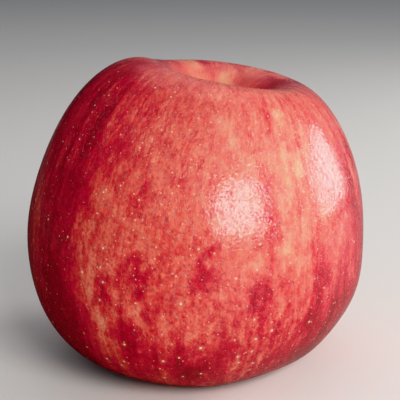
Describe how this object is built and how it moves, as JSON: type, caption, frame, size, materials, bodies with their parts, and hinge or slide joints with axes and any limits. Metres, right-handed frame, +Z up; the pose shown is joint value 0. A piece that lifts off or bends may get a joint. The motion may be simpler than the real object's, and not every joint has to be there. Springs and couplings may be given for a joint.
{
  "type": "red apple",
  "caption": "Whole ripe red apple, slightly lopsided, with a deep stem hollow, a short bent woody stem and a dried calyx in its base.",
  "frame": {"origin": "on the surface the apple stands on, under the middle of its outer box", "axes": "+Z up, with the stem end at the top and the calyx below; the picture's viewer looks along +Y with +X to the right"},
  "size_m": [0.084, 0.084, 0.0758],
  "materials": {
    "apple_skin": null,
    "stem_wood": "dry brown bark, matt, darker and rougher at the broken end",
    "dried_calyx": "dried leaf, matt, grey brown with a pale down"
  },
  "bodies": {
    "root": {"fruit": "apple_skin", "stem": "stem_wood", "calyx": "dried_calyx"}
  },
  "joints": []
}
